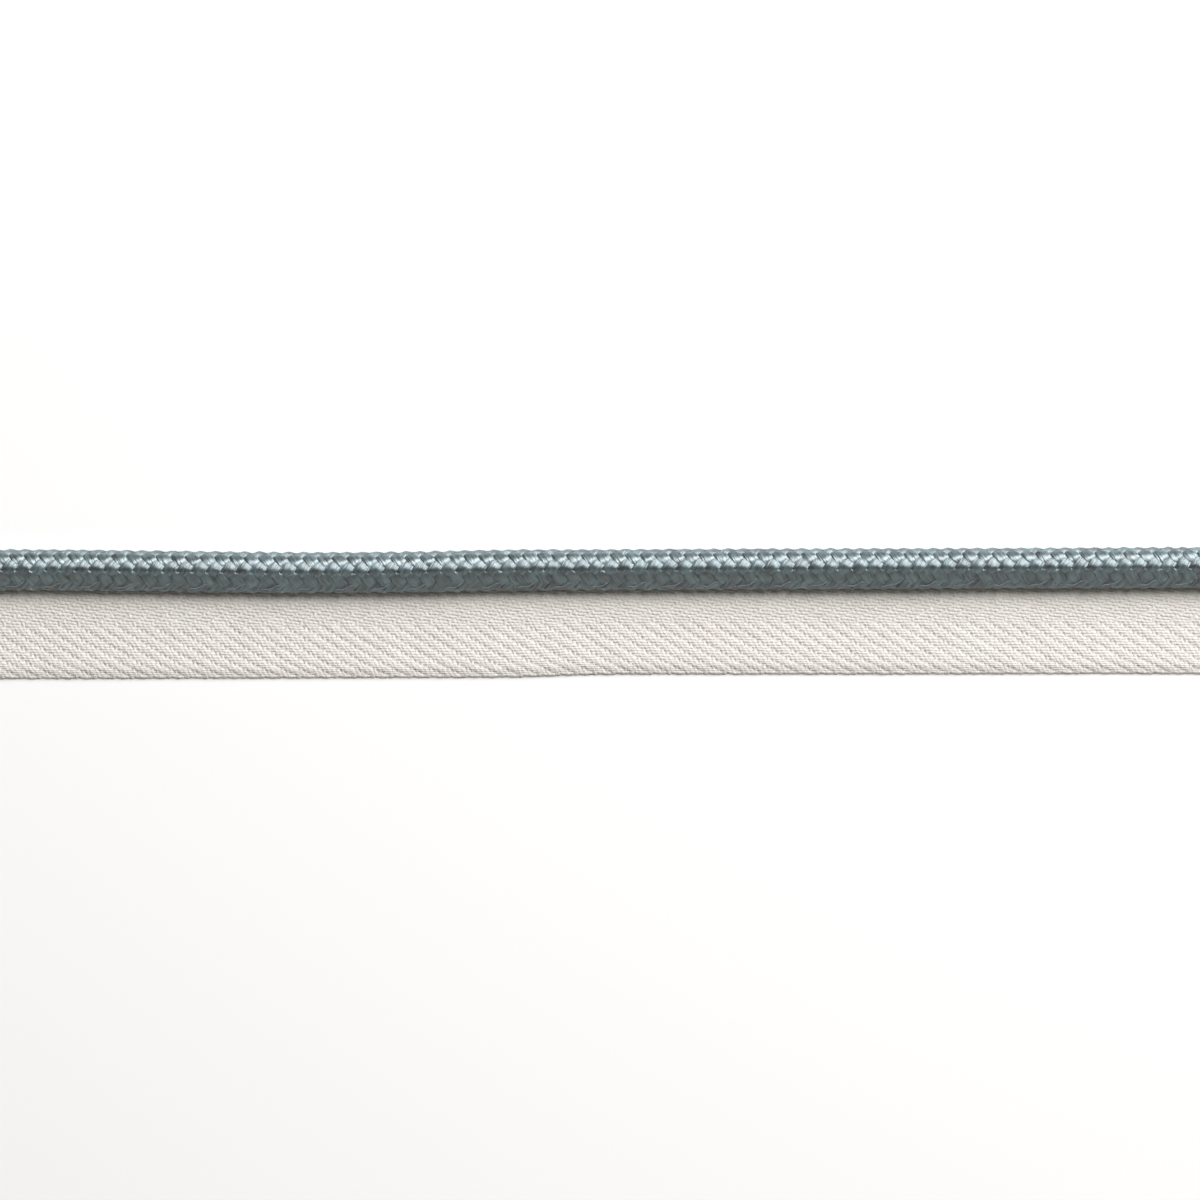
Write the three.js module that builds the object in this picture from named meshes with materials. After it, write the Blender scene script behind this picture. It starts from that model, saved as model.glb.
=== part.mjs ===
// Flanged piping trim: a braided cord sewn along one side of a herringbone twill tape, a straight
// cut length lying flat. Millimetres, +Z up. X runs along the trim, the cord lies on the +Y side
// and the bare tape flange on the -Y side. The tape's underside is at z = 0.
import * as THREE from 'three';

// Driving sizes
const HALF_LENGTH = 98;        // half of the cut length
const TAPE_WIDTH = 15;         // selvedge to selvedge, a standard narrow tape
const TAPE_THICKNESS = 1;      // twill tape with its stitching pressed into it
const CORD_WIDTH = 5.8;        // over the raised strands, across the trim
const CORD_HEIGHT = 4.2;       // the seam and its own weight press the cord to an oval
const STRANDS = 12;            // carriers of the braid, half of them in each direction
const TOP_ROW = 0.23;          // how far the top row lies up the far side, in rows
const TOP_SPREAD = 0.25;       // how much wider the rows are on top than on average
const BRAID_REPEAT = 2.074;    // along the cord, from one strand to the next of the same direction
const GAP_DEPTH = 0.42;        // how far the gaps between four strands lie below the backs
const FLANK_DEPTH = 0.16;      // and how far the line between two rows of backs lies below them
const SEAT_FLAT = 0.88;        // the sewn underside is flat at this share of the half height
const SEAM_PINCH = 0.8;        // share of its height that the flank beside the seam loses at its foot
const REST_GAP = 0.3;          // clearance between the tape and the cord that lies on it

// How the trim wanders along its length: the cord's centre line, and the tape's free edge.
const LAY = [
  { x: -98, cordY: 6.12, freeEdgeY: -9.27 },
  { x: -71, cordY: 5.95, freeEdgeY: -9.24 },
  { x: -43, cordY: 5.64, freeEdgeY: -9.16 },
  { x: -28, cordY: 5.72, freeEdgeY: -9.10 },
  { x: -13, cordY: 6.00, freeEdgeY: -9.04 },
  { x: 0, cordY: 6.04, freeEdgeY: -8.65 },
  { x: 15, cordY: 6.12, freeEdgeY: -8.62 },
  { x: 43, cordY: 6.20, freeEdgeY: -8.61 },
  { x: 71, cordY: 6.30, freeEdgeY: -8.54 },
  { x: 98, cordY: 6.40, freeEdgeY: -8.60 },
];

// Half of the tape's cross-section, from its middle to a selvedge. The weave turns round at the
// middle, where it leaves a fine furrow, and the selvedge is a thicker bead behind a furrow.
// across is a share of the half width, height a share of the tape's thickness.
const TAPE_SECTION = [
  { across: 0.00, height: 0.88 },
  { across: 0.06, height: 1.00 },
  { across: 0.80, height: 1.00 },
  { across: 0.87, height: 0.82 },
  { across: 0.93, height: 0.94 },
  { across: 1.00, height: 0.50 },
];
const TAPE_STEP = 3.5;         // length of one step of the tape's faces along X

const cordAxisZ = TAPE_THICKNESS + REST_GAP + (CORD_HEIGHT / 2) * SEAT_FLAT;

// A smooth curve through one column of the table: a cubic between each two rows, with the slope
// that the neighbouring rows give.
function layAt(x, column) {
  const last = LAY.length - 1;
  let row = 0;
  while (row < last - 1 && x > LAY[row + 1].x) row += 1;
  const slopeAt = (i) => {
    const before = LAY[Math.max(i - 1, 0)];
    const after = LAY[Math.min(i + 1, last)];
    return (after[column] - before[column]) / (after.x - before.x);
  };
  const from = LAY[row];
  const to = LAY[row + 1];
  const span = to.x - from.x;
  const t = (x - from.x) / span;
  return from[column] * (2 * t ** 3 - 3 * t ** 2 + 1)
    + slopeAt(row) * span * (t ** 3 - 2 * t ** 2 + t)
    + to[column] * (3 * t ** 2 - 2 * t ** 3)
    + slopeAt(row + 1) * span * (t ** 3 - t ** 2);
}

// A closed body from rings of equal size along X. Each ring runs round the section in the sense
// that turns +Y to +Z. splitForward(i, k) tells which diagonal divides the face of step i and side k.
function skinned(rings, splitForward) {
  const size = rings[0].length;
  const positions = rings.flat().flatMap((p) => [p.x, p.y, p.z]);
  const index = [];
  for (let i = 0; i < rings.length - 1; i += 1) {
    for (let k = 0; k < size; k += 1) {
      const next = (k + 1) % size;
      const a = i * size + k;
      const b = i * size + next;
      const c = (i + 1) * size + next;
      const d = (i + 1) * size + k;
      if (splitForward(i, k)) index.push(a, c, d, a, b, c);
      else index.push(a, b, d, b, c, d);
    }
  }
  for (const [ring, outwards] of [[0, -1], [rings.length - 1, 1]]) {
    const section = rings[ring].map((p) => new THREE.Vector2(p.y, p.z));
    for (const face of THREE.ShapeUtils.triangulateShape(section, [])) {
      const corners = face.map((k) => ring * size + k);
      index.push(...(outwards > 0 ? corners : corners.reverse()));
    }
  }
  const geometry = new THREE.BufferGeometry();
  geometry.setAttribute('position', new THREE.Float32BufferAttribute(positions, 3));
  geometry.setIndex(index);
  geometry.computeVertexNormals();
  return geometry;
}

// The tape: one flat sheet of even width, whose upper half lies under the cord.
function tapeGeometry() {
  const steps = Math.round(2 * HALF_LENGTH / TAPE_STEP);
  const half = TAPE_WIDTH / 2;
  const rings = [];
  for (let i = 0; i <= steps; i += 1) {
    const x = -HALF_LENGTH + (2 * HALF_LENGTH * i) / steps;
    const middle = layAt(x, 'freeEdgeY') + half;
    const point = (side, row) =>
      new THREE.Vector3(x, middle + side * row.across * half, row.height * TAPE_THICKNESS);
    const outerRows = TAPE_SECTION.slice(1);
    rings.push([
      new THREE.Vector3(x, middle - half, 0),
      new THREE.Vector3(x, middle + half, 0),
      ...outerRows.slice().reverse().map((row) => point(1, row)),
      point(1, TAPE_SECTION[0]),
      ...outerRows.map((row) => point(-1, row)),
    ]);
  }
  return skinned(rings, () => true);
}

// The braid: rows of strand backs round the cord, each back a diamond that rises from the gaps at
// its two ends and from the lines between the rows. Neighbouring rows lie half a repeat apart, so
// backs and gaps take turns. Even sides are the middles of rows, odd ones the lines between them.
// The seam pulls the flank beside it down, so the section is a lopsided oval with a flat foot.
function cordGeometry() {
  const steps = Math.round(2 * HALF_LENGTH / (BRAID_REPEAT / 2));
  const sides = 2 * STRANDS;
  const shareAt = (side) => {
    const even = (side / 2 - TOP_ROW) / STRANDS;
    const spread = even + TOP_SPREAD * Math.sin(2 * Math.PI * even) / (2 * Math.PI);
    return (spread + 1) % 1;
  };
  const oval = (depth) => {
    const curve = new THREE.EllipseCurve(0, 0, CORD_HEIGHT / 2 - depth, CORD_WIDTH / 2 - depth);
    return Array.from({ length: sides }, (_, side) => curve.getPointAt(shareAt(side)));
  };
  const backs = oval(0);
  const flanks = oval(FLANK_DEPTH);
  const gaps = oval(GAP_DEPTH);
  const seat = -SEAT_FLAT * CORD_HEIGHT / 2;
  const pressed = (height, aside) => {
    const beside = Math.max(0, aside / (CORD_WIDTH / 2));
    return height > 0 ? height * (1 - SEAM_PINCH * beside) : Math.max(height, seat);
  };
  const rings = [];
  for (let i = 0; i <= steps; i += 1) {
    const x = -HALF_LENGTH + (2 * HALF_LENGTH * i) / steps;
    const centreY = layAt(x, 'cordY');
    const ring = [];
    for (let side = 0; side < sides; side += 1) {
      let level = flanks;
      if (side % 2 === 0) level = (i + side / 2) % 2 === 0 ? backs : gaps;
      const { x: height, y: aside } = level[side];
      ring.push(new THREE.Vector3(x, centreY - aside, cordAxisZ + pressed(height, aside)));
    }
    rings.push(ring);
  }
  return skinned(rings, (i, side) => (i + Math.floor((side + 1) / 2)) % 2 !== side % 2);
}

const tape = new THREE.Mesh(
  tapeGeometry(),
  new THREE.MeshStandardMaterial({ color: 0xdad5cd, roughness: 0.9, metalness: 0 }),
);
tape.name = 'tape';

const cord = new THREE.Mesh(
  cordGeometry(),
  new THREE.MeshStandardMaterial({ color: 0x8797a0, roughness: 0.45, metalness: 0 }),
);
cord.name = 'cord';

const trim = new THREE.Group();
trim.name = 'piping_trim';
trim.add(tape, cord);

export default trim;
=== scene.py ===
"""Looks of a flanged piping trim: a satin braided cord sewn along a herringbone twill tape."""
import math

import bmesh
import bpy
import numpy as np
from mathutils import Matrix, Vector, noise


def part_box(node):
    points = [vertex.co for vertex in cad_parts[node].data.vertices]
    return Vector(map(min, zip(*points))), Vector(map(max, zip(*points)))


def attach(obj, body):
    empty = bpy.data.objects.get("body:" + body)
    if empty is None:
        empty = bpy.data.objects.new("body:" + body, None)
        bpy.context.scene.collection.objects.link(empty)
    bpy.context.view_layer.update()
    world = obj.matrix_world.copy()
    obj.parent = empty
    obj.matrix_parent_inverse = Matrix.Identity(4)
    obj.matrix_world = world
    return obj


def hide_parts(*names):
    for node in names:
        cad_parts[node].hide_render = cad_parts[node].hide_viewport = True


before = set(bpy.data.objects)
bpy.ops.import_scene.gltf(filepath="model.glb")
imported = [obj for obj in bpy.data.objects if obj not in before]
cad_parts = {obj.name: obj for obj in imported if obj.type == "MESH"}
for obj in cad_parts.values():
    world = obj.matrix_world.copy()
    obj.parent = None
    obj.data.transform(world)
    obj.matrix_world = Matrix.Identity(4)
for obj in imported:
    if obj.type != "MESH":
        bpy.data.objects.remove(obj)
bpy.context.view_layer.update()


# Camera and studio
# The trim lies on a white table and is seen from straight above. A soft light stands on the cord's
# side and a little to the right, low enough that the cord shades the tape beside it. A weak warm
# one on the tape's side fills the shade.
MM = 0.001
VIEW_WIDTH = 170.4 * MM
VIEW_CENTRE_Y = 1.75 * MM
CAMERA_HEIGHT = 1.0
SENSOR = 36.0
LIGHT_DISTANCE = 1.0
FLOOR_REACH = 3.0

# lean is how far a light stands off the vertical, towards the tape's side where it is positive, and
# swing how far it is then turned round the vertical
LIGHTS = [
    {"name": "key_light", "size": (0.5, 1.05), "energy": 16.5, "colour": (1.0, 0.995, 0.985),
     "lean": -43, "swing": -32},
    {"name": "fill_light", "size": (1.0, 1.0), "energy": 1.2, "colour": (1.0, 0.87, 0.73),
     "lean": 66, "swing": 0},
]

camera_data = bpy.data.cameras.new("camera")
camera_data.sensor_width = SENSOR
camera_data.lens = SENSOR * CAMERA_HEIGHT / VIEW_WIDTH
camera_data.clip_start = 0.01
camera = bpy.data.objects.new("camera", camera_data)
camera.location = (0, VIEW_CENTRE_Y, CAMERA_HEIGHT)
bpy.context.collection.objects.link(camera)
bpy.context.scene.camera = camera
bpy.context.scene.view_settings.view_transform = "Standard"

for row in LIGHTS:
    light_data = bpy.data.lights.new(row["name"], "AREA")
    light_data.shape = "RECTANGLE"
    light_data.size, light_data.size_y = row["size"]
    light_data.energy = row["energy"]
    light_data.color = row["colour"]
    light = bpy.data.objects.new(row["name"], light_data)
    swung = Matrix.Rotation(math.radians(row["swing"]), 4, "Z")
    leant = Matrix.Rotation(math.radians(row["lean"]), 4, "X")
    light.matrix_world = swung @ leant @ Matrix.Translation((0, 0, LIGHT_DISTANCE))
    bpy.context.collection.objects.link(light)

world = bpy.data.worlds.new("studio")
world.use_nodes = True
background = world.node_tree.nodes["Background"]
background.inputs["Color"].default_value = (1.0, 0.98, 0.96, 1)
background.inputs["Strength"].default_value = 0.08
bpy.context.scene.world = world


def new_material(name):
    """A material, and with it its nodes, its links and its main shader."""
    material = bpy.data.materials.new(name)
    material.use_nodes = True
    nodes = material.node_tree.nodes
    return material, nodes, material.node_tree.links, nodes["Principled BSDF"]


table_white, nodes, links, shader = new_material("table_white")
shader.inputs["Base Color"].default_value = (0.94, 0.94, 0.94, 1)
shader.inputs["Roughness"].default_value = 0.8

floor_mesh = bpy.data.meshes.new("floor")
floor_form = bmesh.new()
bmesh.ops.create_grid(floor_form, x_segments=1, y_segments=1, size=FLOOR_REACH)
floor_form.to_mesh(floor_mesh)
floor_form.free()
floor_mesh.materials.append(table_white)
floor = bpy.data.objects.new("floor", floor_mesh)
bpy.context.collection.objects.link(floor)


# Braided cord
# Twelve flat strands of satin yarn, six wound each way, go over one and under one round the cord.
# The seam presses the cord to an oval, pulls down the flank beside it and flattens the underside.
CORD_WIDTH = 5.8 * MM
CORD_HEIGHT = 4.2 * MM
SEAT_FLAT = 0.88
SEAT_GIVE = 0.1
SEAM_PINCH = 0.8
SEWN_DOWN = 0.3 * MM
STRANDS = 12
CROSSING_PITCH = 2.074 / 2 * MM
TOP_ROW = 0.23
TOP_SPREAD = 0.25
STRAND_THICKNESS = 0.38 * MM
STRAND_DIVE = 0.32 * MM
SIDE_EASE = 0.7
FLOAT_FLATNESS = 1.3
STEPS_PER_CROSSING = 6
STRAND_SIDES = 10
OVAL_STEPS = 720
UNEVENNESS = 0.09 * MM
UNEVEN_REACH = 1.3 * MM
UNEVEN_SEED = 12


def middles(node):
    """How a solid wanders across: the places of its rings along X, and the middle of each in Y."""
    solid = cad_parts[node].data
    points = np.empty(len(solid.vertices) * 3)
    solid.vertices.foreach_get("co", points)
    points = points.reshape(-1, 3)
    places = np.unique(np.round(points[:, 0], 5))
    rings = [points[np.abs(points[:, 0] - x) < 0.05 * MM, 1] for x in places]
    return places, np.array([(ring.min() + ring.max()) / 2 for ring in rings])


cord_low, cord_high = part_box("cord")
cord_line = middles("cord")
# the seam closes the gap that the two solids keep
cord_axis_z = cord_low.z + SEAT_FLAT * CORD_HEIGHT / 2 - SEWN_DOWN
half_length = (cord_high.x - cord_low.x) / 2

# the share of the oval's girth, from the top towards +Y, that each of its angles has behind it
oval_angles = np.linspace(0, 2 * math.pi, OVAL_STEPS + 1)
oval_steps = np.hypot(
    np.diff(CORD_WIDTH / 2 * np.sin(oval_angles)), np.diff(CORD_HEIGHT / 2 * np.cos(oval_angles))
)
girth = oval_steps.sum()
oval_shares = np.concatenate([[0], np.cumsum(oval_steps)]) / girth

row_width = girth / STRANDS * (1 + TOP_SPREAD)
braid_lean = math.atan2(row_width, CROSSING_PITCH)
strand_width = 2 * CROSSING_PITCH * math.sin(braid_lean)


def under_oval(share, depth):
    """The y and z of a point at that share of the braid's rows and that depth under the oval. The
    rows are wider on top than below."""
    spread = share + TOP_SPREAD * np.sin(2 * np.pi * share) / (2 * np.pi)
    angle = np.interp(spread % 1.0, oval_shares, oval_angles)
    outward = np.stack([np.sin(angle) * CORD_HEIGHT, np.cos(angle) * CORD_WIDTH])
    outward = outward / np.hypot(*outward)
    y = CORD_WIDTH / 2 * np.sin(angle) - depth * outward[0]
    z = CORD_HEIGHT / 2 * np.cos(angle) - depth * outward[1]
    return y, z


def yarn_form():
    """An empty bmesh for yarns, with the map that their skins get."""
    form = bmesh.new()
    form.loops.layers.uv.new("UVMap")
    return form


def tube(form, skin):
    """Rolls a strip of faces into a closed yarn. skin holds its points, with a row for each step
    along it and a column for each side of its section."""
    steps = skin.shape[0] - 1
    sides = skin.shape[1]
    flat = bmesh.ops.create_grid(form, x_segments=steps, y_segments=sides, size=0.5, calc_uvs=True)
    for point in flat["verts"]:
        step = round((point.co.x + 0.5) * steps)
        side = round((point.co.y + 0.5) * sides) % sides
        point.co = skin[step, side]
    bmesh.ops.remove_doubles(form, verts=flat["verts"], dist=1e-8)
    rolled = [point for point in flat["verts"] if point.is_valid]
    rims = {edge for point in rolled for edge in point.link_edges if edge.is_boundary}
    bmesh.ops.holes_fill(form, edges=list(rims), sides=sides)


def finished(name, form, material):
    """Makes a bmesh into an object at the origin that rides on the part."""
    bmesh.ops.recalc_face_normals(form, faces=form.faces[:])
    mesh = bpy.data.meshes.new(name)
    form.to_mesh(mesh)
    form.free()
    mesh.materials.append(material)
    mesh.shade_smooth()
    piece = bpy.data.objects.new(name, mesh)
    bpy.context.collection.objects.link(piece)
    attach(piece, "root")
    return piece


def bent(piece, place):
    """Moves every point of a piece: place takes and gives rows of x, y and z."""
    points = np.empty(len(piece.data.vertices) * 3)
    piece.data.vertices.foreach_get("co", points)
    moved = place(*points.reshape(-1, 3).T)
    piece.data.vertices.foreach_set("co", np.stack(moved, axis=1).ravel())
    piece.data.update()


def strand_skin(way, number):
    """The skin of one strand. way is 1 if it climbs as it runs along X, and -1 if it falls."""
    steps = round(2 * half_length / CROSSING_PITCH * STEPS_PER_CROSSING)
    crossing = np.arange(steps + 1)[:, None] / STEPS_PER_CROSSING
    turn = 2 * np.pi * np.arange(STRAND_SIDES)[None, :] / STRAND_SIDES
    rise = way * np.tanh(FLOAT_FLATNESS * np.cos(np.pi * crossing)) / math.tanh(FLOAT_FLATNESS)
    across = strand_width / 2 * np.cos(turn)
    along = crossing * CROSSING_PITCH - half_length - way * across * math.sin(braid_lean)
    row = TOP_ROW + 2 * number + way * crossing + across * math.cos(braid_lean) / row_width
    # a strand dives less at the cord's two sides, so that its outline stays even
    dive = STRAND_DIVE * (1 - SIDE_EASE * np.sin(2 * np.pi * row / STRANDS) ** 2)
    depth = STRAND_THICKNESS / 2 * (1 - np.sin(turn)) + dive * (1 - rise) / 2
    y, z = under_oval(row / STRANDS, depth)
    return np.stack([np.clip(along, -half_length, half_length), y, z], axis=-1)


# without a seed Blender's noise starts from the clock
noise.seed_set(UNEVEN_SEED)


def uneven(x, y, z):
    """Shifts points a little, as no two strands of a braid lie quite alike."""
    places = np.stack([x, y, z], axis=1) / UNEVEN_REACH
    shift = np.array([noise.noise_vector(Vector(place)) for place in places]) * UNEVENNESS
    moved_x = np.clip(x + shift[:, 0], -half_length, half_length)
    return moved_x, y + shift[:, 1], z + shift[:, 2]


def on_the_line(x, y, z):
    """Presses the straight cord to its sewn shape and lays it along its wandering line."""
    beside = np.clip(-y / (CORD_WIDTH / 2), 0, 1)
    pinched = np.where(z > 0, z * (1 - SEAM_PINCH * beside), z)
    seat = -SEAT_FLAT * CORD_HEIGHT / 2
    pressed = np.where(pinched < seat, seat + SEAT_GIVE * (pinched - seat), pinched)
    return x, y + np.interp(x, *cord_line), pressed + cord_axis_z


satin, nodes, links, shader = new_material("satin_braid")
shader.inputs["IOR"].default_value = 2.2
shader.inputs["Specular IOR Level"].default_value = 1.0
shader.inputs["Specular Tint"].default_value = (0.84, 0.96, 1.0, 1)
shader.inputs["Anisotropic"].default_value = 0.75
shader.inputs["Anisotropic Rotation"].default_value = 0.25
shader.inputs["Sheen Weight"].default_value = 0.15
shader.inputs["Sheen Roughness"].default_value = 0.5
shader.inputs["Sheen Tint"].default_value = (0.75, 0.93, 1.0, 1)
lengthwise = nodes.new("ShaderNodeTangent")
lengthwise.direction_type = "UV_MAP"
lengthwise.uv_map = "UVMap"
links.new(lengthwise.outputs["Tangent"], shader.inputs["Tangent"])

# filaments drawn out along each strand
surface = nodes.new("ShaderNodeTexCoord")
stretched = nodes.new("ShaderNodeMapping")
stretched.inputs["Scale"].default_value = (90, 10, 1)
links.new(surface.outputs["UV"], stretched.inputs["Vector"])
filaments = nodes.new("ShaderNodeTexNoise")
filaments.inputs["Scale"].default_value = 1.0
filaments.inputs["Detail"].default_value = 3.0
links.new(stretched.outputs["Vector"], filaments.inputs["Vector"])
tone = nodes.new("ShaderNodeValToRGB")
tone.color_ramp.elements[0].position = 0.3
tone.color_ramp.elements[0].color = (0.018, 0.033, 0.039, 1)
tone.color_ramp.elements[1].position = 0.7
tone.color_ramp.elements[1].color = (0.066, 0.100, 0.112, 1)
links.new(filaments.outputs["Fac"], tone.inputs["Fac"])

# some places of the braid, a millimetre or two across, are painted lighter than others: a painted
# uneven sheen of the filaments
sheen_patches = nodes.new("ShaderNodeTexNoise")
sheen_patches.inputs["Scale"].default_value = 750.0
sheen_patches.inputs["Detail"].default_value = 2.0
links.new(surface.outputs["Object"], sheen_patches.inputs["Vector"])
sheen_lightness = nodes.new("ShaderNodeMapRange")
sheen_lightness.inputs["From Min"].default_value = 0.35
sheen_lightness.inputs["From Max"].default_value = 0.65
sheen_lightness.inputs["To Min"].default_value = 0.4
sheen_lightness.inputs["To Max"].default_value = 1.9
links.new(sheen_patches.outputs["Fac"], sheen_lightness.inputs["Value"])
sheen_mottled = nodes.new("ShaderNodeVectorMath")
sheen_mottled.operation = "SCALE"
links.new(tone.outputs["Color"], sheen_mottled.inputs[0])
links.new(sheen_lightness.outputs["Result"], sheen_mottled.inputs["Scale"])
links.new(sheen_mottled.outputs["Vector"], shader.inputs["Base Color"])

gloss = nodes.new("ShaderNodeMapRange")
gloss.inputs["To Min"].default_value = 0.42
gloss.inputs["To Max"].default_value = 0.56
links.new(filaments.outputs["Fac"], gloss.inputs["Value"])
links.new(gloss.outputs["Result"], shader.inputs["Roughness"])
ridges = nodes.new("ShaderNodeBump")
ridges.inputs["Strength"].default_value = 1.0
ridges.inputs["Distance"].default_value = 0.35 * MM
links.new(filaments.outputs["Fac"], ridges.inputs["Height"])
links.new(ridges.outputs["Normal"], shader.inputs["Normal"])


def strands(name, way):
    """All strands of the braid that are wound one way."""
    form = yarn_form()
    for number in range(STRANDS // 2):
        tube(form, strand_skin(way, number))
    piece = finished(name, form, satin)
    bent(piece, uneven)
    bent(piece, on_the_line)
    return piece


climbing = strands("strands_climbing", 1)
strands("strands_falling", -1)
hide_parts("cord")


# Cord filling
# A bundle of dull yarns that the braid is wound round. It keeps the cord full and shows only at
# the cut ends.
CORE_DEPTH = STRAND_THICKNESS / 2 + STRAND_DIVE
CORE_STEPS = 98
CORE_SIDES = 24

filling, nodes, links, shader = new_material("cord_filling")
shader.inputs["Roughness"].default_value = 0.9
shader.inputs["Sheen Weight"].default_value = 0.3
surface = nodes.new("ShaderNodeTexCoord")
yarn_ends = nodes.new("ShaderNodeTexVoronoi")
yarn_ends.inputs["Scale"].default_value = 2400.0
links.new(surface.outputs["Object"], yarn_ends.inputs["Vector"])
# painted shade: each yarn end is painted darker towards its rim, where the yarn ends sink and shade
# each other
tone = nodes.new("ShaderNodeValToRGB")
tone.color_ramp.elements[0].color = (0.15, 0.18, 0.19, 1)
tone.color_ramp.elements[1].color = (0.03, 0.045, 0.05, 1)
links.new(yarn_ends.outputs["Distance"], tone.inputs["Fac"])
links.new(tone.outputs["Color"], shader.inputs["Base Color"])
pile = nodes.new("ShaderNodeBump")
pile.invert = True
pile.inputs["Strength"].default_value = 0.8
pile.inputs["Distance"].default_value = 0.15 * MM
links.new(yarn_ends.outputs["Distance"], pile.inputs["Height"])
links.new(pile.outputs["Normal"], shader.inputs["Normal"])

core_x = np.linspace(-half_length, half_length, CORE_STEPS + 1)[:, None]
core_y, core_z = under_oval(np.arange(CORE_SIDES) / CORE_SIDES, CORE_DEPTH)
core_form = yarn_form()
tube(core_form, np.stack(np.broadcast_arrays(core_x, core_y[None, :], core_z[None, :]), axis=-1))
core = finished("cord_core", core_form, filling)
bent(core, on_the_line)


# Herringbone tape
# A cotton twill tape. Each warp yarn runs along it over three picks of the weft and under one, one
# pick later in each row outwards from the middle, so the two halves mirror each other. The
# outermost ends lie closer and make the selvedge, where the weft turns back.
TAPE_WIDTH = 15.0 * MM
SELVEDGE_FROM = 0.86
SELVEDGE_THINNESS = 0.45
PICK = 0.6575 * MM
INNER_ENDS = 14
OUTER_ENDS = 6
OUTER_PITCH = 0.31 * MM
WARP_THICKNESS = 0.62 * MM
WARP_FULLNESS = 1.65
WARP_WAVE = 0.055 * MM
WARP_SWAY = 0.08 * MM
DIVE_REACH = 1.05
DIVE_TAPER = 0.1
WEFT_WIDTH = 0.78 * MM
WEFT_THICKNESS = 0.56 * MM
WEFT_WAVE = 0.05 * MM
TURN_STEPS = 4
TURN_WIDTH = 0.42 * MM
TURN_REACH = 0.12 * MM
TURN_ENDS = 5
YARN_SIDES = 6
GROUND_THICKNESS = 0.1 * MM
GROUND_STEPS = 98

# the weave repeats after four picks, and a warp yarn dives at the first of them
REPEAT = 4
SWAY_TURN = 0.35
WARP_POINTS = np.array([-SWAY_TURN, 0, SWAY_TURN, 0.7, 1.2, 2.0, 2.8, 3.3])

tape_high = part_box("tape")[1]
tape_line = middles("tape")
tape_middle_z = tape_high.z / 2
inner_pitch = (TAPE_WIDTH / 2 - OUTER_ENDS * OUTER_PITCH) / INNER_ENDS
end_places = [inner_pitch * (n + 0.5) for n in range(INNER_ENDS)]
end_places += [inner_pitch * INNER_ENDS + OUTER_PITCH * (n + 0.5) for n in range(OUTER_ENDS)]
picks = round(2 * half_length / PICK)

# plies twisted into a yarn: slanting crests, even or wandering a little
ply_twist = bpy.data.node_groups.new("ply_twist", "ShaderNodeTree")
ply_twist.interface.new_socket("Place", in_out="INPUT", socket_type="NodeSocketVector")
ply_twist.interface.new_socket("Twist", in_out="INPUT", socket_type="NodeSocketVector")
ply_twist.interface.new_socket("Wander", in_out="INPUT", socket_type="NodeSocketFloat")
ply_twist.interface.new_socket("Plies", in_out="OUTPUT", socket_type="NodeSocketFloat")
twist_in = ply_twist.nodes.new("NodeGroupInput")
twist_out = ply_twist.nodes.new("NodeGroupOutput")
slanted = ply_twist.nodes.new("ShaderNodeMapping")
crests = ply_twist.nodes.new("ShaderNodeTexWave")
crests.bands_direction = "DIAGONAL"
crests.inputs["Scale"].default_value = 1.0
crests.inputs["Detail Scale"].default_value = 1.0
ply_twist.links.new(twist_in.outputs["Place"], slanted.inputs["Vector"])
ply_twist.links.new(twist_in.outputs["Twist"], slanted.inputs["Scale"])
ply_twist.links.new(slanted.outputs["Vector"], crests.inputs["Vector"])
ply_twist.links.new(twist_in.outputs["Wander"], crests.inputs["Distortion"])
ply_twist.links.new(crests.outputs["Fac"], twist_out.inputs["Plies"])

cotton, nodes, links, shader = new_material("cotton_twill")
shader.inputs["Sheen Weight"].default_value = 0.2
shader.inputs["Sheen Roughness"].default_value = 0.6

# fine fibres give each yarn its fuzz, and wide soft patches the tape's uneven tint
surface = nodes.new("ShaderNodeTexCoord")
fibres = nodes.new("ShaderNodeTexNoise")
fibres.inputs["Scale"].default_value = 3400.0
fibres.inputs["Detail"].default_value = 2.0
links.new(surface.outputs["Object"], fibres.inputs["Vector"])
patches = nodes.new("ShaderNodeTexNoise")
patches.inputs["Scale"].default_value = 90.0
patches.inputs["Detail"].default_value = 1.0
links.new(surface.outputs["Object"], patches.inputs["Vector"])
tone = nodes.new("ShaderNodeValToRGB")
tone.color_ramp.elements[0].position = 0.3
tone.color_ramp.elements[0].color = (0.66, 0.635, 0.60, 1)
tone.color_ramp.elements[1].position = 0.7
tone.color_ramp.elements[1].color = (0.83, 0.812, 0.79, 1)
links.new(fibres.outputs["Fac"], tone.inputs["Fac"])
# inputs 6 and 7 and output 2 are the two colours of a Mix node and their mix
tint = nodes.new("ShaderNodeMix")
tint.data_type = "RGBA"
tint.blend_type = "MULTIPLY"
tint.inputs[7].default_value = (1.0, 0.975, 0.95, 1)
links.new(patches.outputs["Fac"], tint.inputs["Factor"])
links.new(tone.outputs["Color"], tint.inputs[6])
links.new(tint.outputs[2], shader.inputs["Base Color"])
dullness = nodes.new("ShaderNodeMapRange")
dullness.inputs["To Min"].default_value = 0.8
dullness.inputs["To Max"].default_value = 0.98
links.new(fibres.outputs["Fac"], dullness.inputs["Value"])
links.new(dullness.outputs["Result"], shader.inputs["Roughness"])

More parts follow.
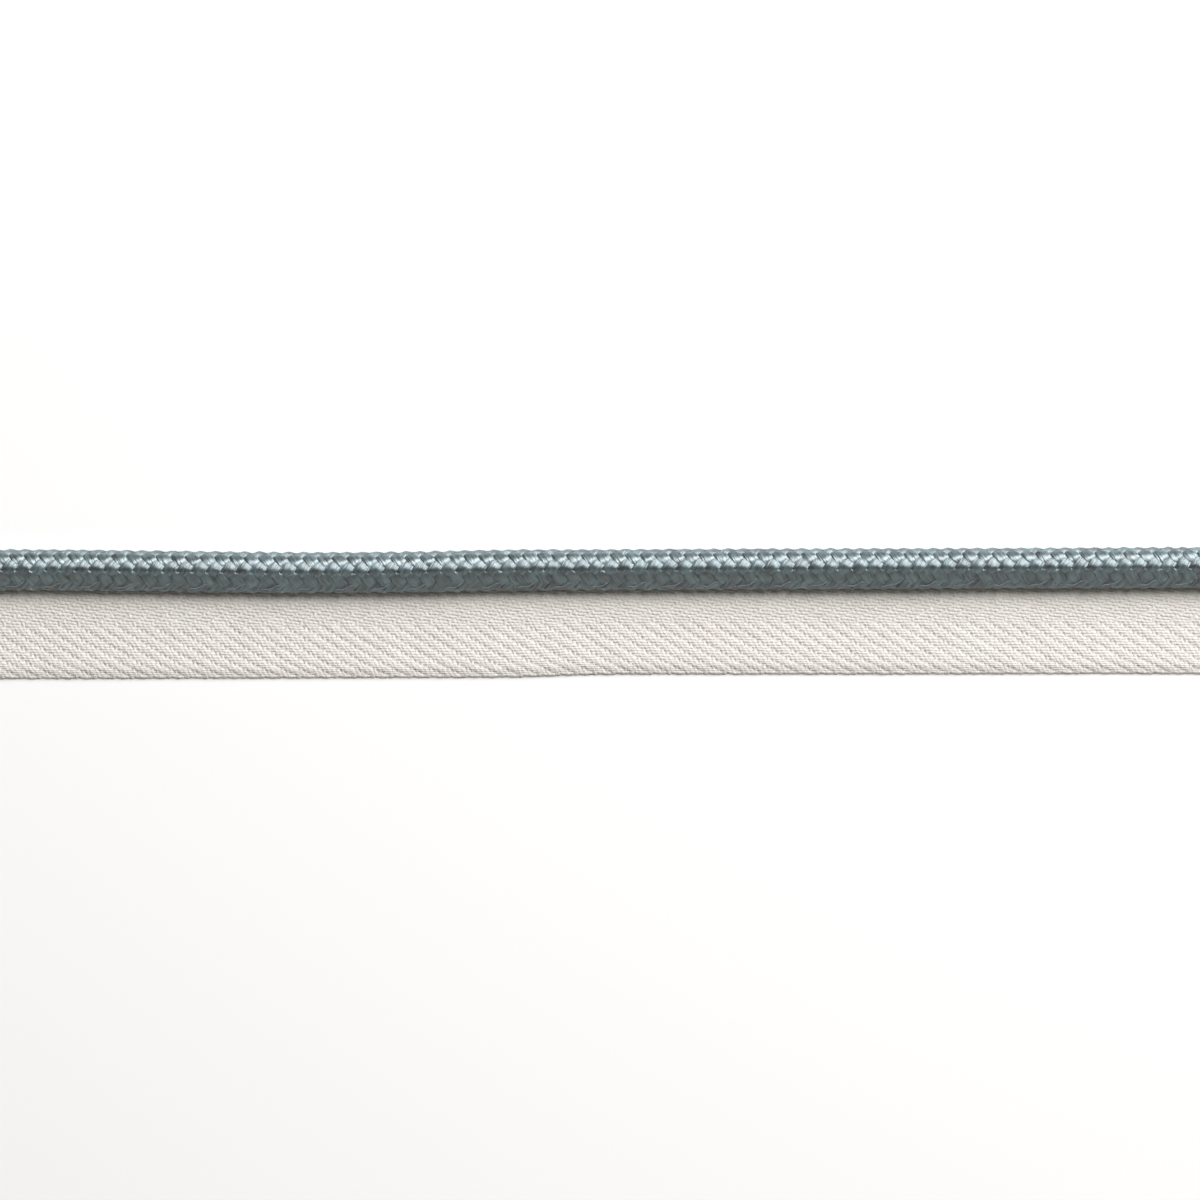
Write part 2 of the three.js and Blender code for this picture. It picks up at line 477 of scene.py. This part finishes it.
# the plies' furrows lie 0.66 mm apart and run on steeply from row to row
plies = nodes.new("ShaderNodeGroup")
plies.node_tree = ply_twist
plies.inputs["Twist"].default_value = (952, 544, 0)
plies.inputs["Wander"].default_value = 2.5
links.new(surface.outputs["Object"], plies.inputs["Place"])
twist = nodes.new("ShaderNodeBump")
twist.inputs["Strength"].default_value = 0.8
twist.inputs["Distance"].default_value = 0.045 * MM
links.new(plies.outputs["Plies"], twist.inputs["Height"])
fuzz = nodes.new("ShaderNodeBump")
fuzz.inputs["Strength"].default_value = 0.8
fuzz.inputs["Distance"].default_value = 0.08 * MM
links.new(fibres.outputs["Fac"], fuzz.inputs["Height"])
links.new(twist.outputs["Normal"], fuzz.inputs["Normal"])
links.new(fuzz.outputs["Normal"], shader.inputs["Normal"])


def laid_tape(x, y, z):
    """Thins the straight tape towards its selvedges and lays it along its wandering line."""
    half_width = TAPE_WIDTH / 2
    selvedge = [SELVEDGE_FROM * half_width, half_width]
    thinness = np.interp(np.abs(y), selvedge, [1, SELVEDGE_THINNESS])
    return x, y + np.interp(x, *tape_line), (z + tape_middle_z) * thinness


def yarn_skin(path, width, thickness):
    """The skin of a yarn that follows a path, with its section upright. The width is a number or
    one for each point of the path."""
    width = np.broadcast_to(width, len(path))[:, None, None]
    run = np.gradient(path[:, :2], axis=0)
    run = run / np.maximum(np.hypot(run[:, 0], run[:, 1]), 1e-12)[:, None]
    aside = np.stack([-run[:, 1], run[:, 0], np.zeros(len(run))], axis=1)
    turn = 2 * np.pi * np.arange(YARN_SIDES) / YARN_SIDES
    up = np.array([0, 0, 1])
    return (
        path[:, None, :]
        + width / 2 * np.cos(turn)[None, :, None] * aside[:, None, :]
        + thickness / 2 * np.sin(turn)[None, :, None] * up
    )


def warp_height(place):
    """How high a warp yarn runs at a place in picks, from -1 where it dives to 1 over its float."""
    near = np.abs((place + REPEAT / 2) % REPEAT - REPEAT / 2)
    dive = np.clip(1 - near / DIVE_REACH, 0, 1)
    return 1 - 2 * dive * dive * (3 - 2 * dive)


def warp_half(name, side):
    """The warp yarns of one half of the tape. Each float runs a little aslant, from one side of its
    row to the other."""
    form = yarn_form()
    for row, across in enumerate(end_places):
        places = (np.arange(-1, picks // REPEAT + 2)[:, None] * REPEAT + WARP_POINTS).ravel()
        x = (places + row % REPEAT + 0.5) * PICK - half_length
        x = x[np.abs(x) < half_length - 0.01 * MM]
        x = np.concatenate([[-half_length], x, [half_length]])
        picks_along = (x + half_length) / PICK - 0.5 - row
        height = warp_height(picks_along)
        sway = WARP_SWAY * np.interp(
            picks_along % REPEAT, [0, SWAY_TURN, REPEAT - SWAY_TURN, REPEAT], [0, 1, -1, 0]
        )
        path = np.stack([x, side * across + sway, WARP_WAVE * height], axis=1)
        pitch = inner_pitch if row < INNER_ENDS else OUTER_PITCH
        width = pitch * WARP_FULLNESS * (1 - DIVE_TAPER * (1 - height))
        tube(form, yarn_skin(path, width, WARP_THICKNESS))
    piece = finished(name, form, cotton)
    bent(piece, uneven)
    bent(piece, laid_tape)
    return piece


warp_upper = warp_half("warp_under_cord", 1)
warp_lower = warp_half("warp_free_half", -1)

# the weft is one yarn that goes to and fro across the tape and turns back round its outermost ends
row_places = np.array([-place for place in reversed(end_places)] + end_places)
row_numbers = np.array(list(reversed(range(len(end_places)))) + list(range(len(end_places))))
weft_points = []
for pick in range(picks):
    way = 1 if pick % 2 == 0 else -1
    pick_x = (pick + 0.5) * PICK - half_length
    over = (pick - row_numbers) % REPEAT == 0
    heights = WEFT_WAVE * np.where(over, 1.0, -1.0)
    weft_points += [(pick_x, y, z) for y, z in zip(row_places[::way], heights[::way])]
    for step in range(1, TURN_STEPS):
        turned = math.pi * step / TURN_STEPS
        weft_points.append((
            pick_x + PICK / 2 * (1 - math.cos(turned)),
            way * (end_places[-1] + TURN_REACH * math.sin(turned)),
            0.0,
        ))
weft_path = np.array(weft_points[:1 - TURN_STEPS])
turn_span = [end_places[-TURN_ENDS], end_places[-1]]
weft_width = np.interp(np.abs(weft_path[:, 1]), turn_span, [WEFT_WIDTH, TURN_WIDTH])
weft_form = yarn_form()
tube(weft_form, yarn_skin(weft_path, weft_width, WEFT_THICKNESS))
weft = finished("tape_weft", weft_form, cotton)
bent(weft, uneven)
bent(weft, laid_tape)

# a thin ground in the middle of the weave closes the pinholes between its yarns
ground_size = (2 * half_length, TAPE_WIDTH - 2 * OUTER_PITCH, GROUND_THICKNESS)
ground_form = bmesh.new()
bmesh.ops.create_cube(ground_form, size=1.0)
bmesh.ops.scale(ground_form, vec=ground_size, verts=ground_form.verts[:])
long_edges = [e for e in ground_form.edges if abs(e.verts[0].co.x - e.verts[1].co.x) > half_length]
bmesh.ops.subdivide_edges(
    ground_form, edges=long_edges, cuts=GROUND_STEPS - 1, use_grid_fill=True
)
ground = finished("tape_ground", ground_form, cotton)
bent(ground, laid_tape)
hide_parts("tape")


# Seam
# One line of machine sewing holds the cord on the tape. Its thread climbs slanting over the foot of
# the cord, dives into the braid and comes up again one stitch further on. It is three plies,
# twisted once round in about 0.6 mm.
STITCH = 5.17 * MM
THREAD = 0.2 * MM

# along is a share of a stitch, across is in millimetres from the cord's middle towards the flange,
# and height a share of the oval's height there
STITCH_PATH = [
    {"along": 0.00, "across": 2.45, "height": 0.55},
    {"along": 0.20, "across": 2.45, "height": 0.75},
    {"along": 0.28, "across": 2.40, "height": 1.02},
    {"along": 0.38, "across": 2.43, "height": 1.05},
    {"along": 0.48, "across": 2.32, "height": 1.03},
    {"along": 0.56, "across": 2.12, "height": 1.03},
    {"along": 0.65, "across": 1.86, "height": 1.00},
    {"along": 0.72, "across": 1.72, "height": 0.72},
    {"along": 0.88, "across": 2.10, "height": 0.55},
]

sewing, nodes, links, shader = new_material("sewing_thread")
shader.inputs["Roughness"].default_value = 0.55
shader.inputs["Sheen Weight"].default_value = 0.3
surface = nodes.new("ShaderNodeTexCoord")
plies = nodes.new("ShaderNodeGroup")
plies.node_tree = ply_twist
plies.inputs["Twist"].default_value = (616, -1.885, 0)
links.new(surface.outputs["UV"], plies.inputs["Place"])
# painted shade and light: the plies' furrows are painted darker and their crests lighter, the shade
# and light of the twist
tone = nodes.new("ShaderNodeValToRGB")
tone.color_ramp.elements[0].color = (0.08, 0.10, 0.11, 1)
tone.color_ramp.elements[1].color = (0.23, 0.26, 0.28, 1)
links.new(plies.outputs["Plies"], tone.inputs["Fac"])
links.new(tone.outputs["Color"], shader.inputs["Base Color"])

stitch_points = []
for number in range(math.floor(2 * half_length / STITCH)):
    for point in STITCH_PATH:
        across = point["across"] * MM
        oval_height = CORD_HEIGHT / 2 * math.sqrt(1 - (2 * across / CORD_WIDTH) ** 2)
        x = (number + 0.5 + point["along"]) * STITCH - half_length
        stitch_points.append((x, -across, point["height"] * oval_height))
seam_line = np.stack(on_the_line(*np.array(stitch_points).T), axis=1)
seam_form = yarn_form()
tube(seam_form, yarn_skin(seam_line, THREAD, THREAD))
finished("seam_thread", seam_form, sewing)
